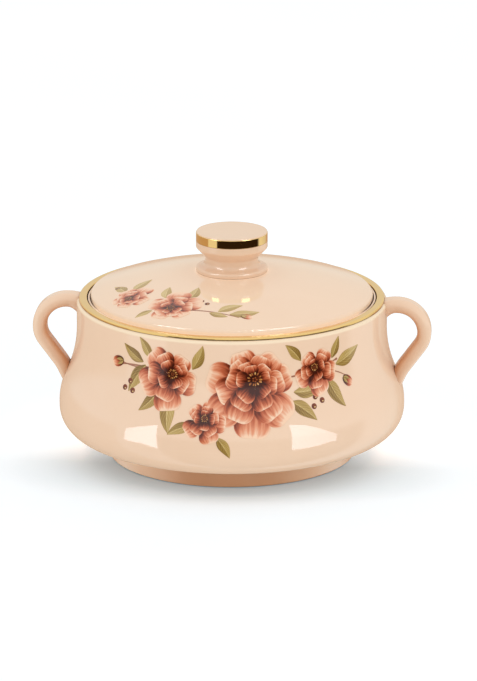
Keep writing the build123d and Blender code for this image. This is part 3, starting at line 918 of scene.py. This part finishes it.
def print_lid_spray(blanks):
    """Sprig along the front left of the lid: places are to the right of its middle and to the back."""
    spray = Spray(blanks, seed=5)
    spray.stalk((-30, -72), 42, -6, -0.3, 1.1)
    spray.stalk((-60, -50), 28, 112, -0.3, 1.0)
    spray.leaf((-4, -76), 19, 42, -0.4, 0.6)
    spray.leaf((4, -79), 21, 4, 0.4, 0.5)
    spray.leaf((-10, -77), 14, -30, 0.3, 0.4)
    spray.leaf((-26, -58), 20, 62, 0.4, 0.5)
    spray.leaf((-42, -52), 18, 96, -0.4, 0.62)
    spray.leaf((-72, -30), 18, 108, 0.4, 0.4)
    spray.leaf((-66, -30), 20, 66, -0.4, 0.6)
    spray.leaf((-50, -68), 13, 194, 0.5, 0.5)
    spray.blossom((-36, -66), 18, SMALL_BLOSSOM, radians(60))
    spray.blossom((-67, -43), 14, SMALL_BLOSSOM, radians(40))
    spray.bud((12, -80), 8, -14)
    for place in ((-16, -62), (-12, -66), (-78, -20)):
        spray.berry(place, 3.4)
    spray.gather("lid", press_on_lid, LID_PRINT)


def print_sprays():
    """Cuts the blanks, prints both sprays from copies of them and clears the blanks away."""
    blanks = {
        "petal": add_blank("petal", PETAL),
        "leaf": add_blank("leaf", LEAF),
        "drop": add_blank("drop", DROP),
        "stalk": add_blank("stalk", STALK),
    }
    print_body_spray(blanks)
    print_lid_spray(blanks)
    take_up(*blanks.values())
    bpy.ops.object.delete()


# Floor, light and camera


def make_floor():
    """White sheet that glows a little, with a painted soft shadow in front, and painted light behind that
    leaves hardly a shadow there.
    """
    tidy_selection()
    bpy.ops.mesh.primitive_plane_add(size=FLOOR_SIZE, location=(0, 0, 0))
    floor = bpy.context.object
    floor.name = "floor"
    finish = Finish("floor_white")
    across, back, _ = finish.axes(finish.place())
    tone = finish.ramp(finish.cloud(scale=3.0), (0.3, FLOOR_GREY), (0.7, FLOOR_WHITE))
    # Painted shade close round the foot
    contact = finish.span(finish.corner(CONTACT_REACH), 0.3, 1.0, 1.0, 0.0)
    tone = finish.mix(contact, tone, CONTACT_SHADE)
    # Painted oval shadow round a point in front of the axis
    wide = finish.times(across, 1 / SHADOW_HALF_WIDTH)
    deep = finish.times(finish.number("ADD", back, SHADOW_AHEAD), 1 / SHADOW_HALF_DEPTH)
    spread = finish.number("SQRT", finish.sum((wide, wide), (deep, deep)))
    tone = finish.mix(finish.span(spread, 0.5, 1.0, 0.9, 0.0), tone, SHADOW_SHADE)
    # Painted light: behind the axis, near the casserole, the glow rises to white
    behind = finish.span(back, *BACK_STRIP, 0.0, 1.0)
    beside = finish.span(finish.corner(BACK_REACH), 0.2, 1.0, BACK_LIGHT, 0.0)
    glow = finish.mix(finish.times(behind, beside), FLOOR_GLOW, (1, 1, 1))
    finish.set(Base_Color=tone, Roughness=0.9, Specular_IOR_Level=0.0)
    finish.set(Emission_Color=glow, Emission_Strength=1.0)
    floor.data.materials.append(finish.material)
    floor.visible_glossy = False


def pane(bearing, rise, distance, width, height):
    """Corners of an upright-held pane that faces the middle of the casserole."""
    bearing, rise = radians(bearing), radians(rise)
    out = Vector((sin(bearing) * cos(rise), -cos(bearing) * cos(rise), sin(rise)))
    side = Vector((cos(bearing), sin(bearing), 0)) * width / 2
    up = out.cross(side).normalized() * height / 2
    middle = Vector((0, 0, AIM_HEIGHT)) + out * distance
    return (middle - side - up, middle + side - up, middle + side + up, middle - side + up)


def make_window(name, corners, glow, pieces, fade=None):
    """A lit pane that only the polished surface of some pieces sees, as the reflection of a window."""
    tidy_selection()
    bpy.ops.mesh.primitive_circle_add(vertices=len(corners), fill_type="NGON")
    window = bpy.context.object
    window.name = name
    for vertex, corner in zip(window.data.vertices, corners):
        vertex.co = corner
    finish = Finish(name)
    light = finish.node("Emission")
    finish.feed(light.inputs["Color"], glow)
    if fade:
        axis, *span = fade
        along = finish.axes(finish.place())["XYZ".index(axis)]
        strength = finish.span(finish.number("ABSOLUTE", along), *span)
        finish.join(strength, light.inputs["Strength"])
    both = finish.node("AddShader")
    finish.join(light.outputs[0], both.inputs[0])
    finish.join(finish.node("BsdfTransparent").outputs[0], both.inputs[1])
    finish.join(both.outputs[0], finish.tree.nodes["Material Output"].inputs["Surface"])
    window.data.materials.append(finish.material)
    window.visible_camera = False
    window.visible_diffuse = False
    window.visible_shadow = False
    window.visible_transmission = False
    seen_by = bpy.data.collections.new(name)
    for piece in pieces:
        seen_by.objects.link(piece)
    window.light_linking.receiver_collection = seen_by


def make_lamp():
    """Soft lamp from the front right, which polished surfaces don't reflect."""
    light = bpy.data.lights.new("from_the_right", "AREA")
    light.shape = "RECTANGLE"
    light.size = LAMP_SIZE
    light.size_y = LAMP_SIZE
    light.energy = LAMP_POWER
    lamp = bpy.data.objects.new("from_the_right", light)
    bpy.context.scene.collection.objects.link(lamp)
    lamp.location = LAMP_PLACE
    lamp.rotation_euler = (Vector(LAMP_AIM) - Vector(LAMP_PLACE)).to_track_quat("-Z", "Y").to_euler()
    lamp.visible_glossy = False


def make_tent():
    """White light from all round, in place of which polished surfaces see a room with a dark open front."""
    world = bpy.data.worlds.new("tent")
    bpy.context.scene.world = world
    world.use_nodes = True
    tent = Nodes(world.node_tree)
    plain = tent.tree.nodes["Background"]
    tent.feed(plain.inputs["Color"], (1, 1, 1))
    tent.feed(plain.inputs["Strength"], TENT_LIGHT)
    across, back, height = tent.axes(tent.node("TexCoord").outputs["Generated"])
    bearing = tent.number("ARCTAN2", across, tent.times(back, -1.0))

    def ease(value, start, full):
        return tent.span(value, start, full, 0.0, 1.0, smooth=True)

    def above(value, edge, blur):
        return ease(value, edge - blur, edge + blur)

    def below(value, edge, blur):
        return ease(value, edge + blur, edge - blur)

    low = below(height, HORIZON, HORIZON_BLUR)
    right_of_left = above(bearing, OPEN_LEFT, OPEN_LEFT_BLUR)
    left_of_right = below(bearing, OPEN_RIGHT, OPEN_RIGHT_BLUR)
    dark = tent.times(tent.times(right_of_left, left_of_right), low)
    beyond_left = below(bearing, DIM_LEFT, DIM_LEFT_BLUR)
    beyond_right = above(bearing, DIM_RIGHT, DIM_RIGHT_BLUR)
    dim = tent.times(tent.number("ADD", beyond_left, beyond_right), low)
    wall = tent.times(ease(back, *WALL_BACK), ease(height, *WALL_TOP))
    room = tent.mix(wall, (1, 1, 1), WALL_SHADE)
    room = tent.mix(dim, room, DIM_SHADE)
    room = tent.mix(dark, room, OPEN_SHADE)
    mirrored = tent.node("Background")
    tent.join(room, mirrored.inputs["Color"])
    both = tent.node("MixShader")
    tent.join(tent.node("LightPath").outputs["Is Glossy Ray"], both.inputs[0])
    tent.join(plain.outputs[0], both.inputs[1])
    tent.join(mirrored.outputs[0], both.inputs[2])
    tent.join(both.outputs[0], tent.tree.nodes["World Output"].inputs["Surface"])


def make_studio():
    """The tent, the lamp, and the lit panes that the belly, the foot, the knob and the lid reflect."""
    make_tent()
    front = (nodes["outer_shell"], *(bpy.data.objects[f"body_{kind}"] for kind in BODY_PRINT))
    make_window("left_window", LEFT_WINDOW, WINDOW_GLOW, front, LEFT_FADE)
    make_window("right_window", RIGHT_WINDOW, WINDOW_GLOW, front, RIGHT_FADE)
    foot = (nodes["base_cover"],)
    knob = (nodes["knob_body"], nodes["knob_cap"], nodes["knob_band"])
    lid = (nodes["lid_cover"], *(bpy.data.objects[f"lid_{kind}"] for kind in LID_PRINT))
    for panes, glow, pieces, fade in (
        (FOOT_PANES, FOOT_GLOW, foot, FOOT_FADE),
        (KNOB_PANES, KNOB_GLOW, knob, KNOB_FADE),
        (LID_PANES, LID_GLOW, lid, None),
    ):
        for name, place in panes.items():
            make_window(name, pane(*place), glow, pieces, fade)
    make_lamp()
    bpy.context.scene.view_settings.view_transform = "Standard"


def make_camera():
    """Camera at its bearing and rise, looking a little to the right of the axis."""
    back = Vector(
        (sin(VIEW_BEARING) * cos(VIEW_RISE), -cos(VIEW_BEARING) * cos(VIEW_RISE), sin(VIEW_RISE))
    )
    right = Vector((cos(VIEW_BEARING), sin(VIEW_BEARING), 0.0))
    aim = Vector((0, 0, AIM_HEIGHT)) + right * AIM_TO_THE_RIGHT
    lens = bpy.data.cameras.new("camera")
    lens.lens = VIEW_LENS
    lens.sensor_width = VIEW_SENSOR
    lens.sensor_fit = "AUTO"
    lens.clip_start = NEAREST_IN_VIEW
    camera = bpy.data.objects.new("camera", lens)
    bpy.context.scene.collection.objects.link(camera)
    camera.location = aim + back * VIEW_DISTANCE
    camera.rotation_euler = back.to_track_quat("Z", "Y").to_euler()
    bpy.context.scene.camera = camera


dress_nodes()
print_sprays()
make_floor()
make_studio()
make_camera()
